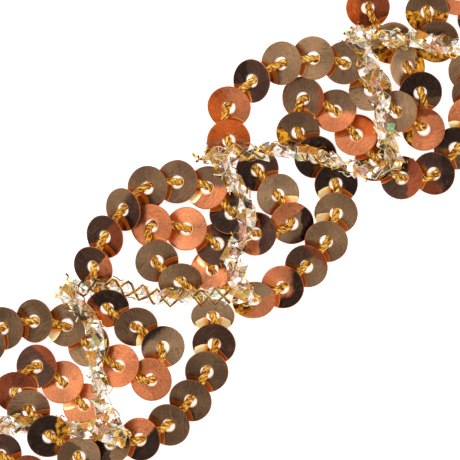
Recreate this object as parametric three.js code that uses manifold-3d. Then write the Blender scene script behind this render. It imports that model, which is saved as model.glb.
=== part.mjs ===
// Sequin trim, a cut length lying flat. Millimetres, +X along the trim, +Y across it, +Z up.
// Two yarns threaded with flat sequins make scallops along the edges and loops in the middle,
// and a film braid zigzags over them from notch to notch.
import * as THREE from "three";
import { mergeVertices } from "three/addons/utils/BufferGeometryUtils.js";
import Module from "manifold-3d";

const wasm = await Module();
wasm.setup();

const sequin = { diameter: 6, hole: 1.8, thickness: 0.4, rimSides: 12, holeSides: 5, noseDown: 13 };
const yarn = { width: 1.2, topWidth: 0.8, height: 0.7, step: 2.3, tail: 4.5 };
const braid = { width: 2.3, thickness: 0.4, step: 1.4, overrun: 1.3, slope: 0.7 };
// How much wider and narrower the braid gets, and how fast that changes along and across the trim.
const braidWave = { width: 0.3, perAlong: 1.3, perAcross: 0.7 };
// The room that the braid keeps above what it lies on, and beside it.
const room = { above: 0.4, beside: 0.3 };
// The height of a sequin's middle over the underside of its yarn.
const seatHeight = 1.2;
// The one sequin that lies over the film braid, which props up its back edge.
const propped = { name: "left loop 1.1", noseDown: 31, raised: 1 };
const samplesPerSpan = 14;
// How many spots are looked at across the braid, and along it, to find what lies under one place.
const spots = 5;

// The route of each yarn, a row for each run of sequins, in the order of stringing. points are
// places on the route: along, across, and the yarn's height over the floor. sequins is how many
// are strung on each stretch from one point to the next, and one more sits on the last point.
const leftRuns = [
  { run: "scallop 4", sequins: [2, 2], points: [[51.0, 8.9, 0], [42.9, 13.2, 0], [34.7, 9.1, 0]] },
  {
    run: "loop 3",
    sequins: [2, 1, 2],
    points: [[33.7, 3.3, 0.5], [31.8, -4.3, 0.6], [28.7, -8.2, 1.1], [27.1, 0.7, 1.2]],
  },
  {
    run: "scallop 3",
    sequins: [2, 2, 1],
    points: [[27.1, 5.8, 1.2], [20.8, 11.7, 1.4], [11.5, 12.3, 0.2], [8.3, 9.0, 0]],
  },
  {
    run: "loop 2",
    sequins: [2, 1, 1],
    points: [[8.4, 3.4, 0], [6.8, -5.2, 0], [2.2, -2.8, 0], [1.7, 1.6, 0.8]],
  },
  { run: "scallop 2", sequins: [2, 3], points: [[1.7, 6.4, 0.5], [-4.2, 12.0, 0], [-17.1, 9.2, 0]] },
  {
    run: "loop 1",
    sequins: [2, 1, 2],
    points: [[-19.5, 3.8, 0.4], [-17.7, -5.3, 0], [-21.9, -7.4, 0.7], [-24.9, 1.9, 0]],
  },
  { run: "scallop 1", sequins: [2, 4], points: [[-25.2, 6.0, 0], [-31.9, 11.7, 0], [-44.1, 9.2, 0]] },
  {
    run: "loop 0",
    sequins: [2, 1, 2],
    points: [[-45.2, 3.8, 0], [-43.4, -5.3, 0], [-47.6, -7.4, 0.8], [-50.6, 1.9, 0]],
  },
];
const rightRuns = [
  { run: "scallop 4", sequins: [1], points: [[50.0, -13.4, 0], [45.6, -11.0, 0]] },
  {
    run: "loop 4",
    sequins: [2, 1, 2],
    points: [[44.4, -6.8, 0], [45.0, 1.9, 0], [43.0, 6.2, 0], [38.4, -0.8, 0]],
  },
  {
    run: "scallop 3",
    sequins: [2, 2, 1],
    points: [[38.9, -6.7, 0], [34.4, -11.5, 0], [25.6, -13.6, 0], [22.0, -11.0, 0]],
  },
  {
    run: "loop 3",
    sequins: [2, 1, 1, 1],
    points: [[21.1, -6.8, 0], [21.7, 1.9, 0], [19.7, 6.2, 0], [16.0, 3.3, 0], [15.4, -0.8, 0]],
  },
  { run: "scallop 2", sequins: [2, 3], points: [[14.9, -5.4, 0], [8.5, -10.2, 1.0], [-4.2, -9.2, 0]] },
  {
    run: "loop 2",
    sequins: [1, 2, 1, 1],
    points: [[-5.5, -2.2, 0], [-2.6, -0.2, 0.3], [-7.4, 7.8, 1.25], [-10.2, 3.8, 0.6], [-9.8, -0.4, 0]],
  },
  {
    run: "scallop 1",
    sequins: [2, 2, 1],
    points: [[-9.8, -6.9, 0], [-15.7, -11.9, 0], [-24.5, -13.6, 0], [-28.7, -12.3, 0]],
  },
  {
    run: "loop 1",
    sequins: [1, 2, 1, 1, 1],
    points: [
      [-32.0, -9.9, 0],
      [-31.0, -3.6, 0],
      [-32.1, 4.7, 0],
      [-36.6, 4.1, 0],
      [-37.1, 1.0, 0],
      [-37.4, -3.4, 0],
    ],
  },
  { run: "scallop 0", sequins: [2, 2], points: [[-36.4, -8.3, 0], [-42.3, -11.9, 0], [-51.1, -13.4, 0]] },
];

// The film braid, a row for each leg of its zigzag: the notch or end that it starts from, places
// on it, along and across, and whether it passes under the propped sequin. The last row only ends it.
const braidLegs = [
  { from: "right end", points: [[51.5, 0.5]] },
  { from: "right notch 4", points: [[45.6, -8.6], [39.8, -3.4], [37.6, -0.2], [34.8, 2.8], [32.5, 5.4]] },
  { from: "left notch 3", points: [[31.0, 7.4], [29.7, 4.3], [28.5, 0.9], [26.8, -2.4], [24.5, -4.8]] },
  {
    from: "right notch 3",
    points: [[22.2, -9.2], [19.0, -6.9], [17.2, -3.7], [15.5, -0.6], [12.9, 2.7], [9.7, 5.3], [7.1, 7.5]],
  },
  {
    from: "left notch 2",
    points: [[5.2, 9.0], [4.8, 3.4], [3.8, 1.1], [2.6, -0.6], [0.5, -1.6], [-1.6, -2.3], [-2.9, -3.5]],
  },
  {
    from: "right notch 2",
    points: [[-4.6, -8.0], [-9.7, -3.3], [-12.9, -0.6], [-14.7, 2.1], [-16.2, 4.6], [-17.8, 6.3]],
    underPropped: true,
  },
  {
    from: "left notch 1",
    points: [[-21.8, 9.0], [-23.0, 2.4], [-24.6, 0.7], [-26.1, -0.9], [-27.1, -2.8], [-28.5, -4.7]],
  },
  { from: "right notch 1", points: [[-30.4, -10.2], [-32.4, -7.2], [-35.5, -3.5], [-39.2, 0.5]] },
  { from: "left notch 0", points: [[-46.6, 8.2]] },
  { from: "left end", points: [[-51.0, 1.5]] },
];

// count numbers, evenly spaced from low to high.
function evenly(low, high, count) {
  return Array.from({ length: count }, (_, i) => low + ((high - low) * i) / (count - 1));
}

function solidOf(geometry) {
  geometry.deleteAttribute("normal");
  geometry.deleteAttribute("uv");
  const merged = mergeVertices(geometry, 1e-5);
  return new wasm.Manifold(
    new wasm.Mesh({
      numProp: 3,
      vertProperties: new Float32Array(merged.attributes.position.array),
      triVerts: new Uint32Array(merged.index.array),
    })
  );
}

function meshOf(name, solid, material) {
  const result = solid.getMesh();
  const geometry = new THREE.BufferGeometry();
  geometry.setAttribute("position", new THREE.BufferAttribute(new Float32Array(result.vertProperties), 3));
  geometry.setIndex(new THREE.BufferAttribute(new Uint32Array(result.triVerts), 1));
  geometry.computeVertexNormals();
  const mesh = new THREE.Mesh(geometry, material);
  mesh.name = name;
  return mesh;
}

// A dense line through the points, with the length from its start at every place on it.
function routeOf(points) {
  const corners = points.map(([along, across, height = 0]) => new THREE.Vector3(along, across, height));
  const curve = new THREE.CatmullRomCurve3(corners, false, "centripetal");
  const line = curve.getPoints((points.length - 1) * samplesPerSpan);
  const lengths = [0];
  for (let i = 1; i < line.length; i += 1) {
    lengths.push(lengths[i - 1] + line[i].distanceTo(line[i - 1]));
  }
  return { line, lengths };
}

function placeOn(route, length) {
  const { line, lengths } = route;
  let i = 1;
  while (i < line.length - 1 && lengths[i] < length) {
    i += 1;
  }
  const part = (length - lengths[i - 1]) / (lengths[i] - lengths[i - 1]);
  const point = line[i - 1].clone().lerp(line[i], part);
  point.z = Math.max(point.z, 0);
  const heading = Math.atan2(line[i].y - line[i - 1].y, line[i].x - line[i - 1].x);
  return { point, heading };
}

// The length along the route at which each sequin sits, evenly spread over each stretch.
function sequinLengths(side, runs, route) {
  const found = [];
  let index = 0;
  for (const row of runs) {
    const lengths = [];
    for (const count of row.sequins) {
      const start = route.lengths[index * samplesPerSpan];
      const end = route.lengths[(index + 1) * samplesPerSpan];
      for (let i = 0; i < count; i += 1) {
        lengths.push(start + ((end - start) * i) / count);
      }
      index += 1;
    }
    lengths.push(route.lengths[index * samplesPerSpan]);
    index += 1;
    lengths.forEach((length, i) => found.push({ name: `${side} ${row.run}.${i + 1}`, length }));
  }
  return found;
}

// Where each sequin sits and how it lies: nose down under the next one, as shingles do.
function sequinsOn(side, runs, route) {
  return sequinLengths(side, runs, route).map(({ name, length }) => {
    const { point, heading } = placeOn(route, length);
    const isPropped = name === propped.name;
    const noseDown = THREE.MathUtils.degToRad(isPropped ? propped.noseDown : sequin.noseDown);
    const turn = new THREE.Matrix4().makeRotationZ(heading);
    turn.multiply(new THREE.Matrix4().makeRotationY(noseDown));
    const normal = new THREE.Vector3(0, 0, 1).transformDirection(turn);
    point.z += seatHeight + (isPropped ? propped.raised : 0);
    return { name, point, turn, normal };
  });
}

function ringPoints(radius, sides) {
  return Array.from({ length: sides }, (_, i) => {
    const angle = (2 * Math.PI * (i + 0.5)) / sides;
    return new THREE.Vector2(radius * Math.cos(angle), radius * Math.sin(angle));
  });
}

function sequinSolid({ point, turn }) {
  const outline = new THREE.Shape(ringPoints(sequin.diameter / 2, sequin.rimSides));
  outline.holes.push(new THREE.Path(ringPoints(sequin.hole / 2, sequin.holeSides)));
  const geometry = new THREE.ExtrudeGeometry(outline, { depth: sequin.thickness, bevelEnabled: false });
  geometry.translate(0, 0, -sequin.thickness / 2);
  geometry.applyMatrix4(new THREE.Matrix4().makeTranslation(point.x, point.y, point.z).multiply(turn));
  return solidOf(geometry);
}

// A long box bent along a line: each of its cross-sections is put where station says.
function bentStrip(steps, station) {
  const geometry = new THREE.BoxGeometry(1, 1, 1, steps, 1, 1);
  const position = geometry.attributes.position;
  const stations = Array.from({ length: steps + 1 }, (_, i) => station(i / steps));
  for (let i = 0; i < position.count; i += 1) {
    const at = stations[Math.round((position.getX(i) + 0.5) * steps)];
    const isTop = position.getZ(i) > 0;
    const across = position.getY(i) * (isTop ? at.topWidth : at.width);
    const z = isTop ? at.top : at.bottom;
    position.setXYZ(i, at.x - Math.sin(at.heading) * across, at.y + Math.cos(at.heading) * across, z);
  }
  return solidOf(geometry);
}

function yarnSolid(route) {
  const total = route.lengths.at(-1) + 2 * yarn.tail;
  return bentStrip(Math.round(total / yarn.step), (part) => {
    const length = part * total - yarn.tail;
    const { point, heading } = placeOn(route, length);
    const { width, topWidth, height } = yarn;
    return { x: point.x, y: point.y, heading, width, topWidth, bottom: point.z, top: point.z + height };
  });
}

// The height of whatever lies at a point: the sequins' top faces, or else the yarns.
function topAt(x, y, strings, underPropped) {
  const reach = sequin.diameter / 2 + room.beside;
  let top = 0;
  for (const { placed, route } of strings) {
    for (const { name, point, normal } of placed) {
      const dx = x - point.x;
      const dy = y - point.y;
      const isOver = underPropped && name === propped.name;
      if (!isOver && Math.hypot(dx, dy) < reach) {
        const plane = point.z - (normal.x * dx + normal.y * dy) / normal.z;
        top = Math.max(top, plane + sequin.thickness / 2 / normal.z);
      }
    }
    for (const point of route.line) {
      if (Math.hypot(x - point.x, y - point.y) < yarn.width / 2 + room.beside) {
        top = Math.max(top, point.z + yarn.height);
      }
    }
  }
  return top;
}

// The cross-sections of one leg of the braid, with the height that each needs to clear what lies
// under it and just ahead and behind. The first and last run on past the turns.
function legStations(row, next, strings) {
  const route = routeOf([...row.points, next.points[0]]);
  const length = route.lengths.at(-1);
  const steps = Math.round(length / braid.step);
  return [-braid.overrun, ...evenly(0, length, steps + 1), length + braid.overrun].map((reached) => {
    const { point, heading } = placeOn(route, reached);
    const { x, y } = point;
    const wave = Math.sin(x * braidWave.perAlong + y * braidWave.perAcross);
    const width = braid.width + braidWave.width * wave;
    const tops = evenly(-braid.step, braid.step, spots).flatMap((ahead) =>
      evenly(-width / 2, width / 2, spots).map((aside) => {
        const spotX = x + Math.cos(heading) * ahead - Math.sin(heading) * aside;
        const spotY = y + Math.sin(heading) * ahead + Math.cos(heading) * aside;
        return topAt(spotX, spotY, strings, row.underPropped);
      })
    );
    return { reached, x, y, heading, width, topWidth: width, rest: Math.max(...tops) + room.above };
  });
}

// Lays the legs down: none is steeper than the film bends, and two legs meet level at their turn.
function layLegs(legs) {
  for (const stations of legs) {
    for (const at of stations) {
      const drop = (other) => Math.abs(other.reached - at.reached) * braid.slope;
      at.bottom = Math.max(...stations.map((other) => other.rest - drop(other)));
    }
  }
  for (let i = 1; i < legs.length; i += 1) {
    const meeting = [...legs[i - 1].slice(-2), ...legs[i].slice(0, 2)];
    const level = Math.max(...meeting.map((at) => at.bottom));
    for (const at of meeting) {
      at.bottom = level;
    }
  }
}

function legSolid(stations) {
  const steps = stations.length - 1;
  return bentStrip(steps, (part) => {
    const at = stations[Math.round(part * steps)];
    return { ...at, top: at.bottom + braid.thickness };
  });
}

function joined(solids) {
  return solids.reduce((whole, solid) => whole.add(solid));
}

const copper = new THREE.MeshStandardMaterial({ color: 0xb8693f, metalness: 0.9, roughness: 0.3 });
const bronze = new THREE.MeshStandardMaterial({ color: 0x8a6848, metalness: 0.9, roughness: 0.35 });
const film = new THREE.MeshStandardMaterial({ color: 0xe8e4cf, metalness: 0.1, roughness: 0.2 });

const strings = Object.entries({ left: leftRuns, right: rightRuns }).map(([side, runs]) => {
  const route = routeOf(runs.flatMap((row) => row.points));
  return { route, placed: sequinsOn(side, runs, route) };
});
const [leftString, rightString] = strings.map(({ route, placed }) =>
  joined([yarnSolid(route), ...placed.map(sequinSolid)])
);
const legs = braidLegs.slice(1).map((next, i) => legStations(braidLegs[i], next, strings));
layLegs(legs);
const braidSolid = joined(legs.map(legSolid));

const trim = new THREE.Group();
trim.add(meshOf("left_sequin_string", leftString, copper));
trim.add(meshOf("right_sequin_string", rightString, bronze));
trim.add(meshOf("film_braid", braidSolid, film));

// The origin is at the middle of the trim's underside.
const box = new THREE.Box3().setFromObject(trim);
const middle = box.getCenter(new THREE.Vector3());
trim.position.set(-middle.x, -middle.y, -box.min.z);

export default trim;
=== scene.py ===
import math
import random

import bpy
from mathutils import Matrix, Vector, noise


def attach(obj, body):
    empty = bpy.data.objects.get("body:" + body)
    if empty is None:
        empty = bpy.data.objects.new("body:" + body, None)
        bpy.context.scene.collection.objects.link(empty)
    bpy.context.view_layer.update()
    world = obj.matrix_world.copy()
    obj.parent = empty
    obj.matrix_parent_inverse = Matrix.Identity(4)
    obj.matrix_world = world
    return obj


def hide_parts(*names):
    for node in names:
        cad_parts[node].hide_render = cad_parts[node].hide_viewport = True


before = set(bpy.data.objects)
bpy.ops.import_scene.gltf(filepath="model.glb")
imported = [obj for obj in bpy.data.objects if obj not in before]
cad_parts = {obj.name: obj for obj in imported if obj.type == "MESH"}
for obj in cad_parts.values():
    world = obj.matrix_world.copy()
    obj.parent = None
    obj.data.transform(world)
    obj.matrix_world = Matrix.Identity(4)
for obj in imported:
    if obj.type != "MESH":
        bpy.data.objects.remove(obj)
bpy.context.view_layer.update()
print("frame loaded")

mm = 0.001
middle = Vector((0.213, 0.213, 0))  # where the drawing's zero lies in the frame, in mm


def placed(point):
    return (point + middle) * mm


def linear(red, green, blue):
    # a colour as a screen shows it, 0 to 255, as the shader wants it
    return tuple(((c / 255 + 0.055) / 1.055) ** 2.4 if c > 10 else c / 3295 for c in (red, green, blue))


# Camera, straight above, turned so that the trim runs to the upper right.

view = {"turn": 43.5, "across": 63.01, "height": 500, "focus": 1.5, "sensor": 36}
turned = math.radians(view["turn"])


def makeCamera():
    data = bpy.data.cameras.new("camera")
    data.sensor_width = view["sensor"]
    data.lens = view["sensor"] * (view["height"] - view["focus"]) / view["across"]
    camera = bpy.data.objects.new("camera", data)
    camera.location = placed(Vector((0, 0, view["height"])))
    camera.rotation_euler = (0, 0, -turned)
    bpy.context.scene.collection.objects.link(camera)
    bpy.context.scene.camera = camera


makeCamera()
print("camera placed")


# Shader sums written as plain sums.

class Wire:
    def __init__(self, tree, socket=None):
        self.tree = tree
        self.socket = socket

    def node(self, kind, settings=None, values=None, out=0):
        made = self.tree.nodes.new("ShaderNode" + kind)
        for name, value in (settings or {}).items():
            if name == "stops":
                ends = made.color_ramp.elements
                ends[0].position, ends[0].color = value[0][0], (*value[0][1], 1)
                ends[1].position, ends[1].color = value[-1][0], (*value[-1][1], 1)
                for position, colour in value[1:-1]:
                    ends.new(position).color = (*colour, 1)
            else:
                setattr(made, name, value)
        for name, value in (values or {}).items():
            if isinstance(value, Wire):
                self.tree.links.new(value.socket, made.inputs[name])
            else:
                made.inputs[name].default_value = value
        return Wire(self.tree, made.outputs[out])

    def sum(self, operation, one, two=0.0):
        return self.node("Math", {"operation": operation}, {0: one, 1: two})

    def __add__(self, other):
        return self.sum("ADD", self, other)

    def __radd__(self, other):
        return self.sum("ADD", other, self)

    def __sub__(self, other):
        return self.sum("SUBTRACT", self, other)

    def __rsub__(self, other):
        return self.sum("SUBTRACT", other, self)

    def __mul__(self, other):
        return self.sum("MULTIPLY", self, other)

    def __rmul__(self, other):
        return self.sum("MULTIPLY", other, self)

    def __truediv__(self, other):
        return self.sum("DIVIDE", self, other)

    def __rtruediv__(self, other):
        return self.sum("DIVIDE", other, self)

    def __pow__(self, other):
        return self.sum("POWER", self, other)

    def size(self):
        return self.sum("ABSOLUTE", self)


def newMaterial(name):
    material = bpy.data.materials.new(name)
    material.use_nodes = True
    material.node_tree.nodes.clear()
    return material, Wire(material.node_tree)


def attribute(paint, name):
    return paint.node("Attribute", {"attribute_name": name}, out="Vector")


def axes(vector):
    return [vector.node("SeparateXYZ", None, {0: vector}, out=i) for i in range(3)]


def joined(x, y, z):
    paint = x if isinstance(x, Wire) else y
    return paint.node("CombineXYZ", None, {0: x, 1: y, 2: z})


def step(value, low, high):
    # 0 up to low and 1 from high on, or the other way where low is the higher
    return value.node(
        "MapRange",
        {"interpolation_type": "SMOOTHSTEP"},
        {"Value": value, "From Min": low, "From Max": high},
    )


def raised(mask, least, more):
    # least where the mask is 0, and more on top of that where it is 1
    return least + mask * more


def mixed(factor, one, two):
    return factor.node("Mix", {"data_type": "RGBA"}, {0: factor, 6: one, 7: two}, out=2)


def dimmed(colour, factor):
    return colour.node("VectorMath", {"operation": "SCALE"}, {0: colour, "Scale": factor})


def grain(vector, scale, detail=2.0, rough=0.5):
    # noise with its middle at 0.5
    values = {"Vector": vector, "Scale": scale, "Detail": detail, "Roughness": rough}
    return vector.node("TexNoise", None, values)


def bumped(height, strength):
    return height.node("Bump", None, {"Strength": strength, "Distance": mm / 10, "Height": height})


def colour(rgb):
    return (*rgb, 1)


def finish(paint, shader):
    output = paint.tree.nodes.new("ShaderNodeOutputMaterial")
    paint.tree.links.new(shader.socket, output.inputs["Surface"])


def meshPiece(name, points, faces, values, material, smooth, domain="POINT"):
    mesh = bpy.data.meshes.new(name)
    mesh.from_pydata([placed(p) for p in points], [], faces)
    for key, rows in values.items():
        layer = mesh.attributes.new(key, "FLOAT_VECTOR", domain)
        layer.data.foreach_set("vector", [number for row in rows for number in row])
    mesh.polygons.foreach_set("use_smooth", [smooth] * len(faces))
    mesh.materials.append(material)
    mesh.update()
    piece = bpy.data.objects.new(name, mesh)
    bpy.context.scene.collection.objects.link(piece)
    return piece


# The routes of the two yarns, and what sits on them. Lengths in mm, the yarn's height last.
# sequins is how many are strung on each stretch, and one more sits on the last point. The tone
# words give one word for each sequin: the letter of its tone, which is the copper foil with a painted
# reflection of its surroundings, then any other such painted tone, the side of the picture that it is
# on, and how many tenths of the radius off the middle it starts.

leftRuns = [
    {"run": "scallop 4", "sequins": [2, 2], "points": [(51.0, 8.9, 0), (42.9, 13.2, 0), (34.7, 9.1, 0)],
     "tonesAndReflections": "D B D/Cs2 D R/Ow4"},
    {"run": "loop 3", "sequins": [2, 1, 2],
     "points": [(33.7, 3.3, 0.5), (31.8, -4.3, 0.6), (28.7, -8.2, 1.1), (27.1, 0.7, 1.2)],
     "tonesAndReflections": "B/Ys2 G/Ye4 K/Ds2 C/Yw5/Rn6 B B/Dn0"},
    {"run": "scallop 3", "sequins": [2, 2, 1],
     "points": [(27.1, 5.8, 1.2), (20.8, 11.7, 1.4), (11.5, 12.3, 0.2), (8.3, 9.0, 0)],
     "tonesAndReflections": "D B B S/Kw2 C/Ow2 C/On0"},
    {"run": "loop 2", "sequins": [2, 1, 1],
     "points": [(8.4, 3.4, 0), (6.8, -5.2, 0), (2.2, -2.8, 0), (1.7, 1.6, 0.8)],
     "tonesAndReflections": "K/Se0 G B/Ke4/Cnw2 C/Se2 K"},
    {"run": "scallop 2", "sequins": [2, 3], "points": [(1.7, 6.4, 0.5), (-4.2, 12.0, 0), (-17.1, 9.2, 0)],
     "tonesAndReflections": "C/Dn0 D D S/Bnw2 R/Snw1 S/Cse1"},
    {"run": "loop 1", "sequins": [2, 1, 2],
     "points": [(-19.5, 3.8, 0.4), (-17.7, -5.3, 0), (-21.9, -7.4, 0.7), (-24.9, 1.9, 0)],
     "tonesAndReflections": "K/Osw3 D G/Knw6 C C B"},
    {"run": "scallop 1", "sequins": [2, 4], "points": [(-25.2, 6.0, 0), (-31.9, 11.7, 0), (-44.1, 9.2, 0)],
     "tonesAndReflections": "D D D B/Ds2 O D/Rs1 S"},
    {"run": "loop 0", "sequins": [2, 1, 2],
     "points": [(-45.2, 3.8, 0), (-43.4, -5.3, 0), (-47.6, -7.4, 0.8), (-50.6, 1.9, 0)],
     "tonesAndReflections": "B R/Sn0 R C B K"},
]
rightRuns = [
    {"run": "scallop 4", "sequins": [1], "points": [(50.0, -13.4, 0), (45.6, -11.0, 0)], "tonesAndReflections": "D C"},
    {"run": "loop 4", "sequins": [2, 1, 2],
     "points": [(44.4, -6.8, 0), (45.0, 1.9, 0), (43.0, 6.2, 0), (38.4, -0.8, 0)],
     "tonesAndReflections": "B K/Sn0 C B Y/Dn0 D/Ys2"},
    {"run": "scallop 3", "sequins": [2, 2, 1],
     "points": [(38.9, -6.7, 0), (34.4, -11.5, 0), (25.6, -13.6, 0), (22.0, -11.0, 0)],
     "tonesAndReflections": "B D C D/Kn0 S/Rsw2/Ke4 S/Re3"},
    {"run": "loop 3", "sequins": [2, 1, 1, 1],
     "points": [(21.1, -6.8, 0), (21.7, 1.9, 0), (19.7, 6.2, 0), (16.0, 3.3, 0), (15.4, -0.8, 0)],
     "tonesAndReflections": "K C/On0 D/Cs1 D/Re7 D/Ysw4 K"},
    {"run": "scallop 2", "sequins": [2, 3], "points": [(14.9, -5.4, 0), (8.5, -10.2, 1.0), (-4.2, -9.2, 0)],
     "tonesAndReflections": "K B B B/Snw1/Rne6 C/Ke4/Ks4 G/Yw0/Lse3"},
    {"run": "loop 2", "sequins": [1, 2, 1, 1],
     "points": [(-5.5, -2.2, 0), (-2.6, -0.2, 0.3), (-7.4, 7.8, 1.25), (-10.2, 3.8, 0.6), (-9.8, -0.4, 0)],
     "tonesAndReflections": "L S L C B B"},
    {"run": "scallop 1", "sequins": [2, 2, 1],
     "points": [(-9.8, -6.9, 0), (-15.7, -11.9, 0), (-24.5, -13.6, 0), (-28.7, -12.3, 0)],
     "tonesAndReflections": "G S D D D D/Cn1/Kse1"},
    {"run": "loop 1", "sequins": [1, 2, 1, 1, 1],
     "points": [(-32.0, -9.9, 0), (-31.0, -3.6, 0), (-32.1, 4.7, 0), (-36.6, 4.1, 0), (-37.1, 1.0, 0),
                (-37.4, -3.4, 0)],
     "tonesAndReflections": "D/Kw0 L L S/Rne5 R B/Ys2 K/Ye4"},
    {"run": "scallop 0", "sequins": [2, 2],
     "points": [(-36.4, -8.3, 0), (-42.3, -11.9, 0), (-51.1, -13.4, 0)],
     "tonesAndReflections": "D/Gne3 B C D S"},
]

# sequins that lean more, or another way, than the rest: degrees, and the way in the picture
leaning = {
    "left loop 3.2": (35, 0), "left scallop 3.3": (23, 180), "left scallop 3.4": (33, 190),
    "left loop 2.3": (17, -90), "left scallop 2.3": (22, 180), "left scallop 2.4": (38, 195),
    "left scallop 2.5": (33, 200), "left scallop 2.6": (32, 215), "left loop 1.1": (30, -80),
    "left loop 1.2": (27, -75), "left scallop 1.2": (29, 185), "right scallop 2.6": (34, 100),
    "right loop 2.6": (34, -80), "right scallop 1.1": (39, -90), "left loop 3.1": (24, -60),
}
# the pale gold patch beside the next sequin's edge, a painted reflection that also glows: 1 on the left of
# the yarn, -1 on the right, 3 on both
paleReflection = {
    "left loop 1.2": -1, "left scallop 2.1": 1, "left scallop 1.1": 1, "left loop 2.2": 1,
    "right scallop 1.1": 3, "right scallop 1.2": -1, "right loop 2.1": 1, "right loop 1.2": 1,
    "right scallop 2.1": -1, "right scallop 2.2": -1, "right scallop 3.3": -1,
    "left scallop 1.4": 1,
}
strung = {
    "seed": 41, "samples": 14, "seat": 1.12, "lean": 18, "leanWander": 3, "wayWander": 0.12, "clear": 0.09,
    # how far sequins are lifted off each other, in how many rounds, and the cells where it is measured
    "apart": 0.16, "rounds": 30, "cells": 9, "cellsPerMm": 3,
}
# the two sequins that lie over the film braid, and how much that lifts them, in mm
overBraid = {"left loop 1.1": 1.0, "right loop 1.7": 1.3}
compass = {"e": 0, "ne": 45, "n": 90, "nw": 135, "w": 180, "sw": 225, "s": 270, "se": 315}


def fromPicture(degrees):
    return math.radians(degrees) - turned


def catmull(p0, p1, p2, p3, t):
    d0, d1, d2 = (max((b - a).length ** 0.5, 1e-4) for a, b in ((p0, p1), (p1, p2), (p2, p3)))
    m1 = ((p1 - p0) / d0 - (p2 - p0) / (d0 + d1) + (p2 - p1) / d1) * d1
    m2 = ((p2 - p1) / d1 - (p3 - p1) / (d1 + d2) + (p3 - p2) / d2) * d1
    c2 = -3 * p1 + 3 * p2 - 2 * m1 - m2
    c3 = 2 * p1 - 2 * p2 + m1 + m2
    return p1 + m1 * t + c2 * t * t + c3 * t * t * t


def routeOf(places):
    points = [Vector(p if len(p) == 3 else (*p, 0)) for p in places]
    ends = [2 * points[0] - points[1], *points, 2 * points[-1] - points[-2]]
    samples = strung["samples"]
    line = [catmull(*ends[i:i + 4], k / samples) for i in range(len(points) - 1) for k in range(samples)]
    line.append(points[-1])
    lengths = [0.0]
    for one, two in zip(line, line[1:]):
        lengths.append(lengths[-1] + (two - one).length)
    return {"line": line, "lengths": lengths}


def placeOn(route, length):
    line, lengths = route["line"], route["lengths"]
    i = 1
    while i < len(line) - 1 and lengths[i] < length:
        i += 1
    part = (length - lengths[i - 1]) / (lengths[i] - lengths[i - 1])
    point = line[i - 1].lerp(line[i], part)
    point.z = max(point.z, 0)
    way = line[i] - line[i - 1]
    return point, math.atan2(way.y, way.x)


def sequinPlaces(side, runs, route):
    found, index, samples = [], 0, strung["samples"]
    for row in runs:
        lengths = []
        for count in row["sequins"]:
            start = route["lengths"][index * samples]
            end = route["lengths"][(index + 1) * samples]
            lengths += [start + (end - start) * i / count for i in range(count)]
            index += 1
        lengths.append(route["lengths"][index * samples])
        index += 1
        words = row["tonesAndReflections"].split()
        for i, length in enumerate(lengths):
            found.append({"name": f"{side} {row['run']}.{i + 1}", "length": length, "word": words[i]})
    return found


def sequinsOn(side, runs, route, dice):
    discs = sequinPlaces(side, runs, route)
    for disc in discs:
        point, heading = placeOn(route, disc["length"])
        lean, way = leaning.get(disc["name"], (None, None))
        wander = dice.uniform(-1, 1) * strung["leanWander"]
        lean = math.radians(lean if lean else strung["lean"] + wander)
        wayWander = strung["wayWander"]
        way = fromPicture(way) if way is not None else heading + dice.uniform(-wayWander, wayWander)
        seat = max(strung["seat"], sequin["radius"] * math.sin(lean) + strung["clear"])
        point.z += seat + overBraid.get(disc["name"], 0)
        turn = Matrix.Rotation(lean, 3, Vector((-math.sin(way), math.cos(way), 0)))
        disc.update(centre=point, heading=heading, turn=turn, lean=lean, normal=turn @ Vector((0, 0, 1)))
    return discs


def faceHeight(disc, point):
    # the height of a sequin's own plane over or under a point
    away, normal = point - disc["centre"], disc["normal"]
    return disc["centre"].z - (normal.x * away.x + normal.y * away.y) / normal.z


def gapsBetween(one, two):
    # the first sequin's height over the second, at places where one lies over the other
    centre, gaps = (one["centre"] + two["centre"]) / 2, []
    cells, perMm = range(-strung["cells"], strung["cells"] + 1), strung["cellsPerMm"]
    for i in cells:
        for j in cells:
            point = Vector((centre.x + i / perMm, centre.y + j / perMm, 0))
            heights = [faceHeight(disc, point) for disc in (one, two)]
            ends = [Vector((point.x, point.y, height)) for height in heights]
            if all((end - disc["centre"]).length < sequin["radius"] for end, disc in zip(ends, (one, two))):
                gaps.append(heights[0] - heights[1])
    return gaps


def settle(discs):
    # lifts sequins until none cuts through another
    pairs = []
    for i, one in enumerate(discs):
        for two in discs[i + 1:]:
            near = (one["centre"] - two["centre"]).xy.length < 2 * sequin["radius"]
            gaps = gapsBetween(one, two) if near else []
            if gaps and sum(gap > 0 for gap in gaps) > len(gaps) / 2:
                pairs.append((one, two, min(gaps)))
            elif gaps:
                pairs.append((two, one, -max(gaps)))
    for disc in discs:
        disc["lift"] = 0.0
    for _ in range(strung["rounds"]):
        for upper, lower, gap in pairs:
            short = strung["apart"] - (gap + upper["lift"] - lower["lift"])
            upper["lift"] += max(short, 0)
    for disc in discs:
        disc["centre"].z += disc["lift"]
    lifted = [disc["lift"] for disc in discs if disc["lift"]]
    print("sequins settled,", len(lifted), "lifted by up to", round(max(lifted), 2), "mm")


# Sequins: thin metallised discs, stamped out, so their hole has a burr and their rim is bare.

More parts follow.
